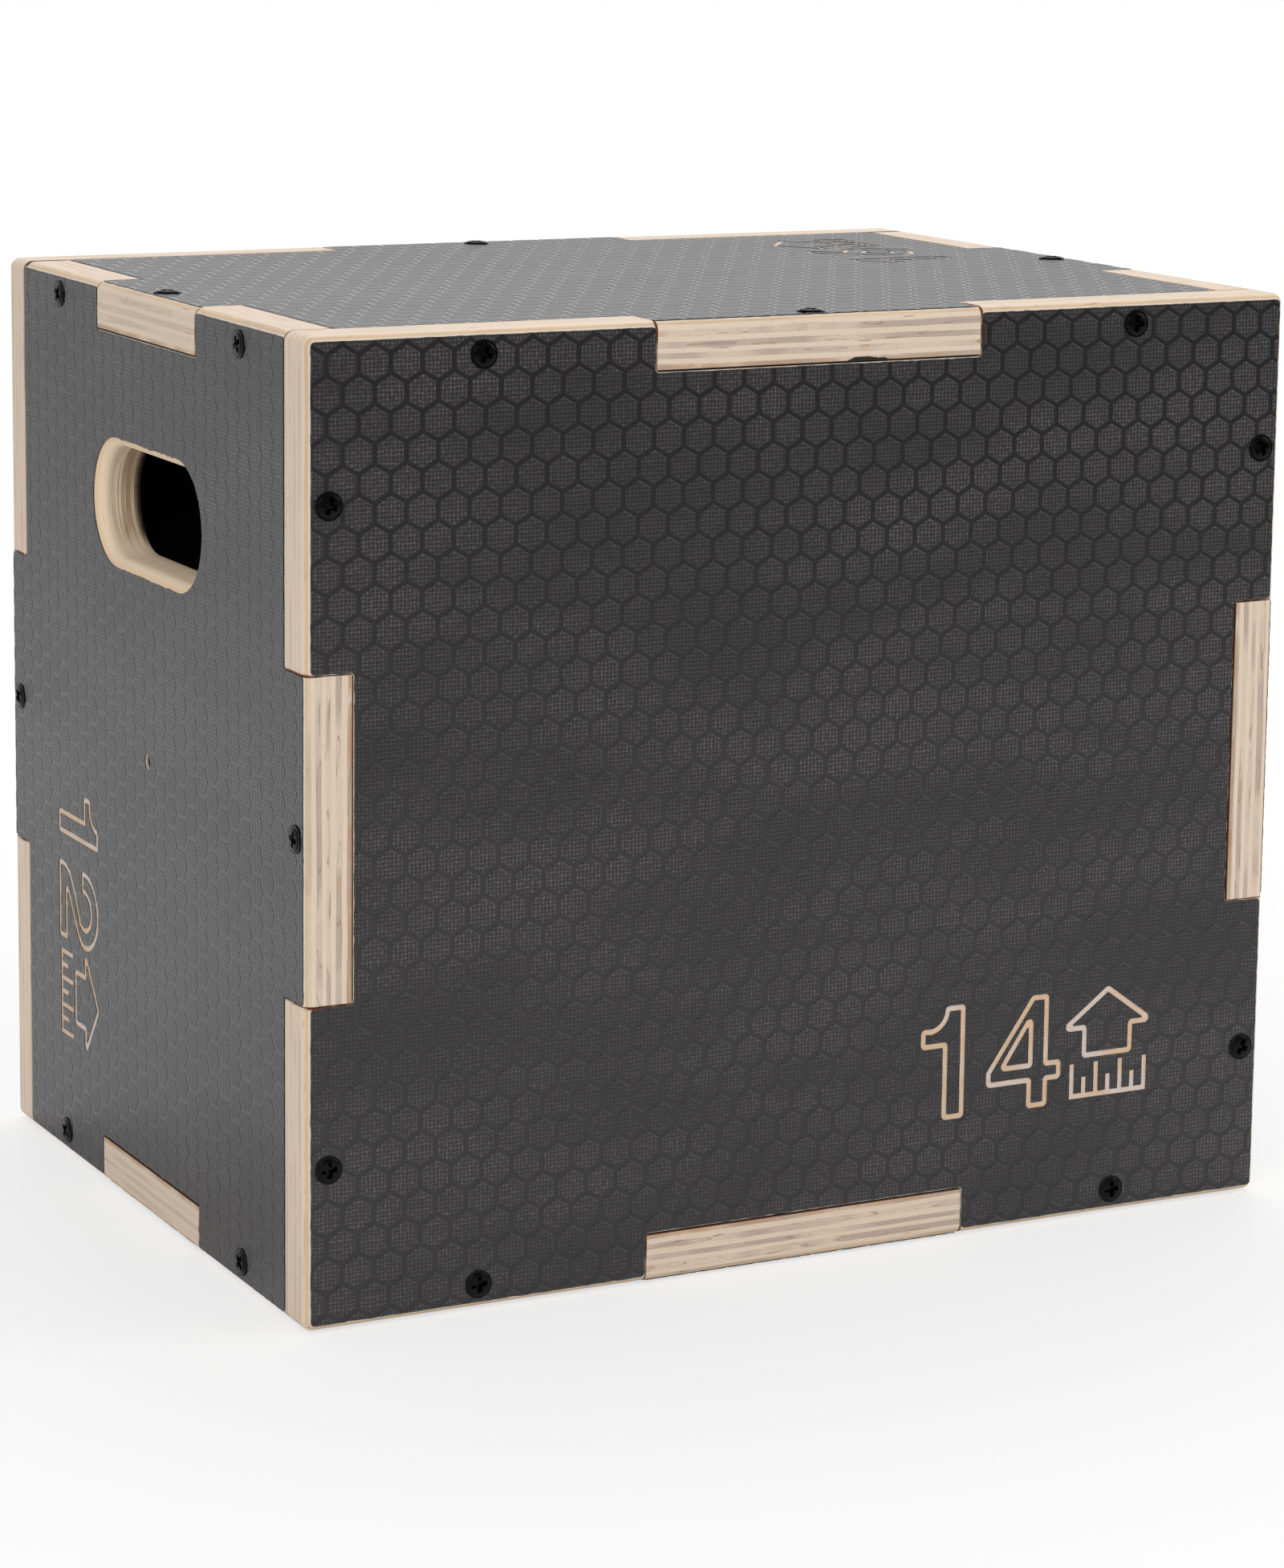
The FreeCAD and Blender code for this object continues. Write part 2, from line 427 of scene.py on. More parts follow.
def mark_loops(face):
    """Loops round the engraved strokes: a place is engraved where it lies in an odd number of them."""
    if face.name not in MARKS:
        return []
    number, place, turn, second = MARKS[face.name]
    spin = Matrix.Rotation(math.radians(turn), 2)

    def put(loops, shift):
        sized = [[(point + Vector(shift)) * MARK_HEIGHT for point in loop] for loop in loops]
        return [[Vector(place) + spin @ point for point in loop] for loop in sized]

    outlines = put(DIGITS[number[0]](), (0, 0)) + put(DIGITS[number[1]](), (second, 0))
    outlines += put(arrow(), ARROW_SHARES)
    return sum((stroke(loop) for loop in outlines), put([rule()], RULE_SHARES))


# Films: a hexagon height field cut along the outlines

def hexagon(centre, across, rows):
    """A hexagon that points up for rows along x, and sideways for rows along y."""
    start = 30 if rows == "along_x" else 0
    return arc(centre, across / math.sqrt(3), start, start + 300, 5)


def hex_centres(face):
    """The middles of the hexagons that touch the face."""
    row_step = HEX_PITCH * math.sqrt(3) / 2
    reach = round(max(face.size) / row_step)
    for row in range(-reach, reach + 1):
        for place in range(-reach, reach + 1):
            along, across = (place + row % 2 / 2) * HEX_PITCH, row * row_step
            spot = (along, across) if face.hex_rows == "along_x" else (across, along)
            centre = face.hex_at + Vector(spot)
            if all(abs(centre[k]) < face.size[k] / 2 + HEX_PITCH for k in (0, 1)):
                yield centre


def hex_rise(face, point):
    """How far up a hexagon's wall a point is: one on its top, zero in the groove."""
    x, y = point - face.hex_at
    if face.hex_rows == "along_y":
        x, y = y, x
    row_step = HEX_PITCH * math.sqrt(3) / 2
    near = HEX_PITCH
    for row in (math.floor(y / row_step), math.floor(y / row_step) + 1):
        shift = row % 2 / 2 * HEX_PITCH
        dx = abs((x - shift + HEX_PITCH / 2) % HEX_PITCH - HEX_PITCH / 2)
        dy = abs(y - row * row_step)
        near = min(near, max(dx, dx / 2 + dy * math.sqrt(3) / 2))
    return min(1, max(0, ((HEX_ACROSS + HEX_WALL) / 2 - near) / HEX_WALL))


def overlay(loops, lines):
    """Cuts the plane along loops and lines: its points, its triangles, and the loops each triangle is in."""
    points, rings, edges = [], [], []
    for loop in loops:
        rings.append(range(len(points), len(points) + len(loop)))
        points += loop
    for line in lines:
        start = len(points)
        edges += [(start + n, start + (n + 1) % len(line)) for n in range(len(line))]
        points += line
    points, _, triangles, _, _, inside = delaunay_2d_cdt(points, edges, rings, 0, MERGE)
    return points, triangles, inside


def covered(triangles, border):
    """The triangles that are reached from the left of the border's sides without crossing any of them."""
    owner = {(t[n], t[(n + 1) % 3]): t for t in triangles for n in range(3)}
    waiting = [owner[side] for side in sorted(border)]
    reached = {}
    while waiting:
        triangle = waiting.pop()
        if triangle in reached:
            continue
        reached[triangle] = True
        sides = [(triangle[n], triangle[(n + 1) % 3]) for n in range(3)]
        waiting += [owner[b, a] for a, b in sides if (a, b) not in border]
    return list(reached)


def sheet_mesh(name, points, triangles, heights, bottom):
    """A closed sheet: the triangles at their heights, a wall round every border, and a flat underside."""
    sides = {(t[n], t[(n + 1) % 3]) for t in triangles for n in range(3)}
    border = sorted((a, b) for a, b in sides if (b, a) not in sides)
    rim = sorted({n for side in border for n in side})
    place = {n: k for k, n in enumerate(rim)}
    flat = [points[n] for n in rim]
    edges = [(place[a], place[b]) for a, b in border]
    _, _, under, origin, _, _ = delaunay_2d_cdt(flat, edges, [], 0, MERGE)
    under = covered([tuple(rim[origin[n][0]] for n in t) for t in under], set(border))
    bm = bmesh.new()
    high = {n: bm.verts.new((*points[n], heights[n])) for n in sorted({n for t in triangles for n in t})}
    low = {n: bm.verts.new((*points[n], bottom)) for n in rim}
    for triangle in triangles:
        bm.faces.new([high[n] for n in triangle])
    for a, b in border:
        bm.faces.new((low[a], low[b], high[b], high[a]))
    for triangle in under:
        bm.faces.new([low[n] for n in reversed(triangle)])
    mesh = bpy.data.meshes.new(name)
    bm.to_mesh(mesh)
    bm.free()
    return mesh


def plane_coordinates(mesh):
    """Keeps each corner's place in the face's plane as its texture coordinates."""
    layer = mesh.uv_layers.new(name="plane")
    for loop in mesh.loops:
        layer.data[loop.index].uv = mesh.vertices[loop.vertex_index].co.xy


def add_piece(name, mesh, face, material):
    """Puts a mesh made in a face's local frame on the box."""
    mesh.transform(Matrix.Translation(face.centre) @ face.axes.to_4x4())
    mesh.materials.append(material)
    piece = bpy.data.objects.new(name, mesh)
    bpy.context.scene.collection.objects.link(piece)
    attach(piece, "root")
    return piece


def dress_film(face, film_material, mark_material):
    """Replaces a plain film with the embossed one, and lays bare wood in its engraved strokes."""
    outline, holes, strokes = ragged(film_outline(face), RAGGED_SIZE), film_holes(face), mark_loops(face)
    rings = [hexagon(centre, HEX_ACROSS + side * HEX_WALL, face.hex_rows)
             for centre in hex_centres(face) for side in (-1, 1)]
    points, triangles, inside = overlay([outline] + holes + strokes, rings)
    first_stroke = 1 + len(holes)
    film, bare = [], []
    for triangle, loops in zip(triangles, inside):
        if 0 in loops and not any(1 <= n < first_stroke for n in loops):
            engraved = sum(n >= first_stroke for n in loops) % 2
            (bare if engraved else film).append(triangle)
    heights = [(hex_rise(face, point) - 1) * HEX_DEPTH for point in points]
    mesh = sheet_mesh(face.name + "_film_embossed", points, film, heights, -face.film)
    plane_coordinates(mesh)
    raised = mesh.attributes.new("raised", "FLOAT", "POINT")
    for vert in mesh.vertices:
        raised.data[vert.index].value = max(0, 1 + vert.co.z / HEX_DEPTH)
    piece = add_piece(face.name + "_film_embossed", mesh, face, film_material)
    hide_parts(face.name + "_film")
    if bare:
        mesh = sheet_mesh(face.name + "_mark", points, bare, [-MARK_DEPTH] * len(points), -face.film)
        plane_coordinates(mesh)
        add_piece(face.name + "_mark", mesh, face, mark_material)


# Screws

def cross(reach, half_slot):
    """The outline of a cross recess."""
    arm = [(reach, -half_slot), (reach, half_slot), (half_slot, half_slot)]
    points = []
    for turn in range(4):
        spin = Matrix.Rotation(math.radians(90) * turn, 2)
        points += [spin @ Vector(point) for point in arm]
    return points


def screw_mesh(material):
    """A countersunk screw with a domed head and a cross recess, head up, with the film's face at zero."""
    mouth = rounded(cross(RECESS_REACH, RECESS_HALF_SLOT), RECESS_HALF_SLOT / 3, 2)
    end = cross(RECESS_REACH - RECESS_TAPER * 2, RECESS_HALF_SLOT - RECESS_TAPER)
    floor = rounded(end, RECESS_TAPER / 4, 2)
    rings = [circle((0, 0), HEAD_RADIUS * share, ROUND_STEPS) for share in HEAD_RING_SHARES]
    points, triangles, inside = overlay([rings[0], mouth, floor], rings[1:])

    def dome(point):
        share = point.length / HEAD_RADIUS / FLANGE_SHARE
        rise = math.sqrt(max(0, 1 - share ** 4))
        return HEAD_PROUD * (FLANGE_RISE_SHARE + (1 - FLANGE_RISE_SHARE) * rise)

    in_floor = {n for triangle, loops in zip(triangles, inside) if 2 in loops for n in triangle}
    heights = [HEAD_PROUD - RECESS_DEPTH if n in in_floor else dome(p) for n, p in enumerate(points)]
    bm = bmesh.new()
    verts = [bm.verts.new((p.x, p.y, h)) for p, h in zip(points, heights)]
    for triangle in triangles:
        bm.faces.new([verts[n] for n in triangle])
    rim = [edge for edge in bm.edges if edge.is_boundary]
    for radius, height in [(HEAD_RADIUS, 0)] + shank_profile():
        walls = bmesh.ops.extrude_edge_only(bm, edges=rim)["geom"]
        for vert in (item for item in walls if isinstance(item, bmesh.types.BMVert)):
            flat = vert.co.xy.normalized() * radius
            vert.co = (flat.x, flat.y, height)
        rim = [item for item in walls if isinstance(item, bmesh.types.BMEdge) and item.is_boundary]
    bmesh.ops.contextual_create(bm, geom=rim)
    bmesh.ops.recalc_face_normals(bm, faces=bm.faces)
    mesh = bpy.data.meshes.new("screw")
    bm.to_mesh(mesh)
    bm.free()
    mesh.shade_smooth()
    mesh.set_sharp_from_angle(angle=math.radians(SHARP))
    mesh.materials.append(material)
    return mesh


def shank_profile():
    """Radius and height down the countersink and the ridges of the thread, to the point."""
    profile = [(SHANK_RADIUS, SHANK_RADIUS - HEAD_RADIUS)]
    start, end = SHANK_RADIUS - HEAD_RADIUS - THREAD_PITCH, POINT_LENGTH - SCREW_REACH
    ridges = int((start - end) / THREAD_PITCH)
    for n in range(ridges):
        top = start - n * THREAD_PITCH
        profile += [(SHANK_RADIUS - THREAD_HEIGHT, top), (SHANK_RADIUS, top - THREAD_PITCH / 2)]
    return profile + [(SHANK_RADIUS - THREAD_HEIGHT, end), (SHANK_RADIUS / 12, -SCREW_REACH)]


def dress_screws(face, mesh):
    """Replaces the face's plain screws, each with its recess turned another way."""
    for node in screw_nodes(face):
        spot = screw_spot(face, node)
        piece = bpy.data.objects.new(node + "_driven", mesh)
        turn = Matrix.Rotation(RANDOM.uniform(0, math.pi / 2), 4, "Z")
        piece.matrix_world = Matrix.Translation(face.at((spot.x, spot.y, 0))) @ face.axes.to_4x4() @ turn
        bpy.context.scene.collection.objects.link(piece)
        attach(piece, "root")
        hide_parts(node)


# Materials

class Nodes:
    """A node tree, built by short calls. An input is a number, a colour or another node's output."""

    def __init__(self, owner):
        owner.use_nodes = True
        self.owner = owner
        self.tree = owner.node_tree

    def put(self, socket, value):
        if isinstance(value, bpy.types.NodeSocket):
            self.tree.links.new(value, socket)
        else:
            socket.default_value = value

    def add(self, kind, inputs=(), **settings):
        node = self.tree.nodes.new("ShaderNode" + kind)
        for key, value in settings.items():
            setattr(node, key, value)
        for key, value in dict(inputs).items():
            self.put(node.inputs[key], value)
        return node

    def math(self, operation, *values):
        return self.add("Math", enumerate(values), operation=operation).outputs[0]

    def vector(self, operation, *values):
        return self.add("VectorMath", enumerate(values), operation=operation).outputs[0]

    def smooth(self, value, low, high):
        """Zero below low, one above high, and a smooth step between."""
        inputs = {"Value": value, "From Min": low, "From Max": high}
        return self.add("MapRange", inputs, interpolation_type="SMOOTHSTEP").outputs[0]

    def noise(self, vector, scale, detail=2.0, roughness=0.5):
        inputs = {"Vector": vector, "Scale": scale, "Detail": detail, "Roughness": roughness}
        return self.add("TexNoise", inputs).outputs[0]

    def noise_of(self, vector, index):
        """Noise that is another one for each index."""
        inputs = {"Vector": vector, "W": index, "Scale": 1.0}
        return self.add("TexNoise", inputs, noise_dimensions="4D").outputs[0]

    def mix(self, share, first, second):
        node = self.add("Mix", data_type="RGBA")
        for key, value in ((0, share), (6, first), (7, second)):
            self.put(node.inputs[key], value)
        return node.outputs[2]

    def bump(self, height, distance, strength=1.0):
        return self.add("Bump", {"Height": height, "Distance": distance, "Strength": strength}).outputs[0]

    def shade(self, **inputs):
        shader = self.tree.nodes["Principled BSDF"]
        for key, value in inputs.items():
            self.put(shader.inputs[key.replace("_", " ")], value)
        return self.owner

    def seen(self, white):
        """One for the camera's own rays, and for reflected ones as far as what they meet is white."""
        rays = self.add("LightPath").outputs
        reflected = self.math("MULTIPLY", rays["Is Glossy Ray"], white)
        return self.math("MAXIMUM", rays["Is Camera Ray"], reflected)


def colour(red, green, blue):
    """A colour given as it looks on a screen, from 0 to 255, as linear light."""
    def linear(value):
        share = value / 255
        return share / 12.92 if share <= 0.04045 else ((share + 0.055) / 1.055) ** 2.4
    return (linear(red), linear(green), linear(blue), 1)


def film_material():
    """Dark phenolic film: a fine weave pressed into the hexagons, and smooth grooves between them."""
    n = Nodes(bpy.data.materials.new("film_embossed"))
    plane = n.add("UVMap", uv_map="plane").outputs[0]
    bend = n.add("TexNoise", {"Vector": plane, "Scale": WEAVE_BEND_SCALE}).outputs["Color"]
    bent = n.vector("MULTIPLY_ADD", bend, [WEAVE_BEND] * 3, plane)
    place = n.add("SeparateXYZ", {"Vector": bent}).outputs
    raised = n.smooth(n.add("Attribute", attribute_name="raised").outputs["Fac"], 0.8, 1.0)
    half = WEAVE_PITCH / 2
    across = n.smooth(n.math("PINGPONG", place[0], half), half * 0.2, half * 0.95)
    along = n.smooth(n.math("PINGPONG", place[1], half), half * 0.2, half * 0.95)
    threads = n.math("MAXIMUM", n.math("MULTIPLY", across, 0.4), n.math("MULTIPLY", along, 0.33))
    weave = n.math("MULTIPLY", n.math("MAXIMUM", n.math("MULTIPLY", across, along), threads), raised)
    # Painted sheen in patches across the face, and painted glints in specks, make the weave's threads
    # lighter in some places than in others
    patch = n.smooth(n.noise(n.vector("MULTIPLY", plane, SHEEN_SCALES), 1.0, 4.0, 0.6), 0.36, 0.64)
    speck = n.smooth(n.noise(plane, SPECK_SCALE, 1.0), 0.35, 0.75)
    patchy = n.math("MULTIPLY_ADD", patch, 0.65, 0.3)
    specked = n.math("MULTIPLY_ADD", speck, 0.7, 0.3)
    shine = n.math("MULTIPLY", weave, n.math("MULTIPLY", patchy, specked))
    ground = n.mix(n.noise(plane, GROUND_SCALE, 3.0), colour(27, 26, 27), colour(34, 32, 33))
    tint = n.mix(shine, ground, colour(112, 109, 110))
    relief = n.math("MULTIPLY_ADD", n.noise(plane, FILM_GRAIN_SCALE, 2.0), 0.2, weave)
    rough = n.math("MULTIPLY_ADD", n.math("SUBTRACT", raised, weave), 0.2, 0.18)
    return n.shade(Base_Color=tint, Roughness=rough, Specular_IOR_Level=0.5, Specular_Tint=(1, 0.97, 1, 1),
                   Normal=n.bump(relief, FILM_RELIEF))


def mark_material():
    """Wood laid bare by engraving, scorched unevenly."""
    n = Nodes(bpy.data.materials.new("engraved_wood"))
    plane = n.add("UVMap", uv_map="plane").outputs[0]
    pale = n.smooth(n.noise(plane, MARK_PATCH_SCALE, 2.0), 0.4, 0.62)
    fibre = n.noise(n.vector("MULTIPLY", plane, MARK_FIBRE_SCALES), 1.0)
    tint = n.mix(pale, colour(214, 183, 152), colour(214, 197, 187))
    tint = n.mix(n.math("MULTIPLY", n.smooth(fibre, 0.5, 0.8), 0.5), tint, colour(176, 136, 98))
    return n.shade(Base_Color=tint, Roughness=0.7, Normal=n.bump(fibre, MARK_RELIEF, 0.5))


class Wood(Nodes):
    """Plywood of one panel: where a point is under its face, and noise drawn out along its plies."""

    def __init__(self, face):
        super().__init__(bpy.data.materials.new("plywood_" + face.name))
        self.face = face
        self.spot = self.add("TexCoord").outputs["Object"]
        self.places = self.add("SeparateXYZ", {"Vector": self.spot}).outputs
        self.axis = max(range(3), key=lambda k: abs(face.out[k]))
        inward = -face.out[self.axis]
        surface = face.centre[self.axis]
        self.depth = self.math("MULTIPLY_ADD", self.places[self.axis], inward, -inward * surface)
        normal = self.add("SeparateXYZ", {"Vector": self.add("NewGeometry").outputs["Normal"]}).outputs
        self.upward = normal[2]
        self.upright = self.math("ABSOLUTE", normal[2])
        self.calm = self.math("MAXIMUM", self.math("ABSOLUTE", normal[0]), self.upright)

    def cells(self, length, thickness):
        """The place in cells of a length along the plies and a thickness through them."""
        scale = [1 / thickness if k == self.axis else 1 / length for k in range(3)]
        shift = [10 * RANDOM.random() for _ in range(3)]
        return self.vector("MULTIPLY_ADD", self.spot, scale, shift)

    def flat(self, length):
        """The place in cells along the plies, whatever the depth."""
        scale = [0.0 if k == self.axis else 1 / length for k in range(3)]
        return self.vector("MULTIPLY", self.spot, scale)

    def away(self, local):
        """How far a point is from the middle of the face, along its local x or y."""
        direction = (self.face.right, self.face.up)[local]
        k = max(range(3), key=lambda j: abs(direction[j]))
        return self.math("ABSOLUTE", self.math("SUBTRACT", self.places[k], self.face.centre[k]))

    def near(self, value, target, reach):
        """One at a value, and none at all further from it than a reach."""
        return self.smooth(self.math("ABSOLUTE", self.math("SUBTRACT", value, target)), reach, reach / 2)


def plywood_material(face):
    """Bare plywood edges: wavy, uneven plies by their depth under the face, burned beside the joints."""
    n = Wood(face)
    wave = n.math("SUBTRACT", n.noise(n.cells(*WAVE_CELL), 1.0, 3.0), 0.5)
    layer = n.math("MULTIPLY", n.math("MULTIPLY_ADD", wave, 2 * PLY_WAVE, n.depth), PLIES / face.ply)
    layer = n.math("ADD", layer, n.noise(n.cells(*LAYER_CELL), 1.0, 1.0))
    streak = n.noise(n.cells(*STREAK_CELL), 1.0, 4.0, 0.6)
    turn = n.math("MULTIPLY_ADD", streak, 0.4, n.math("PINGPONG", layer, 1.0))
    band = n.smooth(turn, 0.62, 0.72)
    index = n.math("FLOOR", n.math("MULTIPLY", layer, 0.5))
    patch = n.smooth(n.noise_of(n.flat(PATCH_LENGTH), n.math("MULTIPLY", index, 3.7)), 0.46, 0.6)
    tan = n.smooth(n.noise_of(n.flat(TAN_LENGTH), n.math("MULTIPLY_ADD", index, 2.3, 40.0)), 0.6, 0.72)
    pale = n.mix(streak, colour(217, 194, 168), colour(230, 213, 195))
    inner = n.mix(patch, colour(216, 196, 177), colour(184, 166, 152))
    inner = n.mix(n.math("MULTIPLY", tan, 0.7), inner, colour(198, 160, 118))
    pores = n.smooth(n.noise(n.cells(*PORE_CELL), 1.0, 2.0), 0.52, 0.75)
    inner = n.mix(n.math("MULTIPLY", pores, 0.3), inner, colour(150, 128, 110))
    ring = n.near(n.noise(n.cells(*RING_CELL), 1.0, 1.0), 0.62, 0.022)
    inner = n.mix(n.math("MULTIPLY", ring, 0.5), inner, colour(140, 108, 84))
    tint = n.mix(n.math("MULTIPLY", band, n.math("MULTIPLY_ADD", n.calm, -0.55, 1.0)), pale, inner)
    broken = n.smooth(n.noise(n.cells(*GLUE_CELL), 1.0), 0.48, 0.62)
    glue = n.math("MULTIPLY", n.near(turn, 0.66, 0.05), broken)
    tint = n.mix(n.math("MULTIPLY", glue, 0.45), tint, colour(150, 118, 90))
    fibre = n.noise(n.cells(*FIBRE_CELL), 1.0, 2.0)
    grain = n.math("MULTIPLY", n.smooth(fibre, 0.5, 0.8), n.math("MULTIPLY_ADD", n.calm, -0.22, 0.3))
    tint = n.mix(grain, tint, colour(178, 150, 122))
    skin = n.smooth(n.math("MULTIPLY_ADD", wave, PLY_WAVE, n.depth), VENEER * 1.4, VENEER * 0.8)
    tint = n.mix(n.math("MULTIPLY", skin, 0.7), tint, colour(212, 178, 130))
    bare = n.math("MULTIPLY", n.smooth(n.depth, *BARE_STRIP), 0.8)
    tint = n.mix(bare, tint, colour(228, 217, 204))
    crack = n.smooth(n.noise(n.cells(*CRACK_CELL), 1.0, 4.0, 0.6), 0.69, 0.72)
    tint = n.mix(n.math("MULTIPLY", crack, 0.8), tint, colour(118, 86, 62))
    tint = bore(n, handle_depth(n, tint))
    tint = n.mix(scorch(n), tint, colour(126, 68, 30))
    tint = n.mix(singe(n), tint, colour(176, 130, 84))
    # Painted shade of the gaps at the tabs and notches: black on the top panel, dark brown on the others
    tint = n.mix(gap_shade(n), tint, colour(20, 15, 12) if face.name == "top" else colour(96, 58, 32))
    # Painted shade in the seams: near black at the back, brown at the front
    seam_shade_tint = n.mix(n.smooth(n.places[1], 0.0, -SEAM_SHADE_LEAD), colour(16, 12, 10), colour(140, 104, 74))
    tint = n.mix(seam_shade(n), tint, seam_shade_tint)
    relief = n.math("MULTIPLY_ADD", fibre, 0.4, n.math("MULTIPLY", crack, -1.0))
    return n.shade(Base_Color=tint, Roughness=0.62, Normal=n.bump(relief, WOOD_RELIEF, 0.6))


def scorch(n):
    """Brown lines where the cutter burned the sides of the fingers, near the panel's edges."""
    burn = 0.0
    for local in (0, 1):
        side = n.near(n.away(local), n.face.size[local] / FINGERS / 2, SCORCH)
        rim = n.face.size[1 - local] / 2 - n.face.ply
        outside = n.smooth(n.away(1 - local), *(rim - lead for lead in SCORCH_LEAD))
        burn = n.math("MAXIMUM", burn, n.math("MULTIPLY", side, outside))
    return n.math("MULTIPLY", burn, n.smooth(n.noise(n.spot, SCORCH_SCALE, 2.0), 0.35, 0.6))


def tab_ends(n):
    """One on the tabs, where they reach over another panel."""
    ends = 0.0
    for local in (0, 1):
        if n.face.joints[local] == "tab":
            end = n.face.size[local] / 2 - n.face.ply
            ends = n.math("MAXIMUM", ends, n.smooth(n.away(local), end, end + TAB_LEAD))
    return ends


def singe(n):
    """Brown on the tabs' last ply, more in some places than in others."""
    uneven = n.smooth(n.noise(n.flat(SINGE_LENGTH), 1.0, 3.0, 0.6), 0.3, 0.6)
    last = n.smooth(n.depth, *(n.face.ply - depth for depth in SINGE_DEPTH))
    return n.math("MULTIPLY", n.math("MULTIPLY", uneven, last), n.math("MULTIPLY", tab_ends(n), 0.6))


def gap_shade(n):
    """Painted shade of the gaps, along the tabs' inner edges, wider in places, and on the notches' floors
    behind the film.
    """
    wider = n.depth
    if n.face.name == "top":
        blot = n.smooth(n.noise(n.flat(GAP_SHADE_LENGTH), 1.0, 6.0, 0.65), 0.54, 0.62)
        blot = n.math("MULTIPLY", blot, n.math("SUBTRACT", 1.0, n.calm))
        wider = n.math("MULTIPLY_ADD", blot, GAP_SHADE_BLOT, n.depth)
    edge = n.smooth(wider, n.face.ply - GAP_SHADE_LINE, n.face.ply - GAP_SHADE_LINE / 2)
    black = n.math("MULTIPLY", edge, tab_ends(n))
    for local in (0, 1):
        if n.face.joints[local] == "notch":
            side = n.face.size[1 - local] / FINGERS / 2
            floor = n.near(n.away(local), n.face.size[local] / 2 - n.face.ply - FINGER_GAP, GAP_SHADE_LINE)
            floor = n.math("MULTIPLY", floor, n.smooth(n.away(1 - local), side, side - NOTCH_LEAD))
            black = n.math("MAXIMUM", black, n.math("MULTIPLY", floor, n.smooth(n.depth, *BEHIND_FILM)))
    return black


def seam_shade(n):
    """Painted shade of the open line where the panel's end butts against another panel, wider on the edges
    at the back.
    """
    line = 0.0
    gaping_shade = n.math("MULTIPLY", n.smooth(n.upright, 0.3, 0.7), n.smooth(n.places[1], 0.0, SEAM_SHADE_LEAD))
    for local in (0, 1):
        if n.face.joints[local] == "tab":
            end = n.face.size[local] / 2 - n.face.ply
            line = n.math("MAXIMUM", line, n.near(n.away(local), end, 1.5 * SEAM))
            line = n.math("MAXIMUM", line, n.math("MULTIPLY", gaping_shade, n.near(n.away(local), end, 4 * SEAM)))
    return line


def handle_depth(n, tint):
    """The hand-hole's wall: pale by painted light, peach at its rim, streaked, with painted shade browner
    further in and black at the end.
    """
    if n.face.name not in WITH_HANDLE:
        return tint
    drop = n.math("SUBTRACT", n.places[2], n.face.centre.z + n.face.size[1] / 2 - HANDLE_DROP)
    inside = n.math("MULTIPLY", n.smooth(n.away(0), HANDLE_LENGTH * 0.65, HANDLE_LENGTH * 0.6),
                    n.smooth(n.math("ABSOLUTE", drop), HANDLE_HEIGHT * 0.8, HANDLE_HEIGHT * 0.7))
    # Painted light lifts the hand-hole's wall to pale
    tint = n.mix(n.math("MULTIPLY", inside, 0.8), tint, colour(246, 225, 196))
    rim = n.math("MULTIPLY", inside, n.smooth(n.depth, *HANDLE_RIM))
    tint = n.mix(n.math("MULTIPLY", rim, 0.65), tint, colour(224, 188, 150))
    # Less of the streaks and the painted shade below on the up-facing floor of the hand-hole, where light
    # falls
    walls = n.math("MULTIPLY", inside, n.math("MULTIPLY_ADD", n.smooth(n.upward, 0.6, 0.98), -0.8, 1.0))
    line = n.smooth(n.noise(n.cells(*STREAK_CELL), 1.0, 4.0, 0.65), 0.42, 0.6)
    streaks = n.math("MULTIPLY", line, n.smooth(n.depth, n.face.ply * 0.15, n.face.ply * 0.6))
    tint = n.mix(n.math("MULTIPLY", walls, n.math("MULTIPLY", streaks, 0.75)), tint, colour(150, 112, 76))
    # Painted shade, browner further in
    deep_shade = n.math("MULTIPLY", n.smooth(n.depth, n.face.ply * 0.5, n.face.ply * 0.95), 0.3)
    tint = n.mix(n.math("MULTIPLY", walls, deep_shade), tint, colour(110, 80, 54))
    # Painted shade, black at the inner end of the wall, with a frayed edge
    frayed_shade = n.math("MULTIPLY_ADD", n.noise(n.spot, HANDLE_SHADE_FRAY_SCALE), HANDLE_SHADE_FRAY, n.depth)
    end = n.smooth(frayed_shade, n.face.ply * 0.84, n.face.ply)
    return n.mix(n.math("MULTIPLY", walls, end), tint, colour(24, 17, 12))


def bore(n, tint):
    """The small hole is pale at its rim, with painted shade inside."""
    if n.face.name not in WITH_CENTRE_HOLE:
        return tint
    across = n.math("MAXIMUM", n.away(0), n.away(1))
    inside = n.smooth(across, 2 * CENTRE_HOLE_RADIUS, CENTRE_HOLE_RADIUS + 2 * CENTRE_HOLE_RIM)
    tint = n.mix(inside, tint, colour(214, 196, 178))
    # Painted shade deeper inside the small hole
    return n.mix(n.math("MULTIPLY", inside, n.smooth(n.depth, *CENTRE_HOLE_SHADE)), tint, colour(34, 26, 20))


def liner_material():
    """Smooth dark film on the inside."""
    n = Nodes(bpy.data.materials.new("film_inside"))
    spot = n.add("TexCoord").outputs["Object"]
    tint = n.mix(n.noise(spot, LINER_SCALE), colour(24, 21, 19), colour(38, 33, 30))
    return n.shade(Base_Color=tint, Roughness=0.45)


def screw_material():
    """Black finish on steel, rubbed a little."""
    n = Nodes(bpy.data.materials.new("screw_black"))
    spot = n.add("TexCoord").outputs["Object"]
    worn = n.smooth(n.noise(spot, WEAR_SCALE, 3.0), 0.6, 0.85)
    tint = n.mix(worn, colour(5, 5, 6), colour(24, 23, 22))
    rough = n.math("MULTIPLY_ADD", n.noise(spot, SCREW_GRAIN_SCALE), 0.2, 0.12)
    return n.shade(Base_Color=tint, Specular_IOR_Level=0.13, Roughness=rough)


# Stage

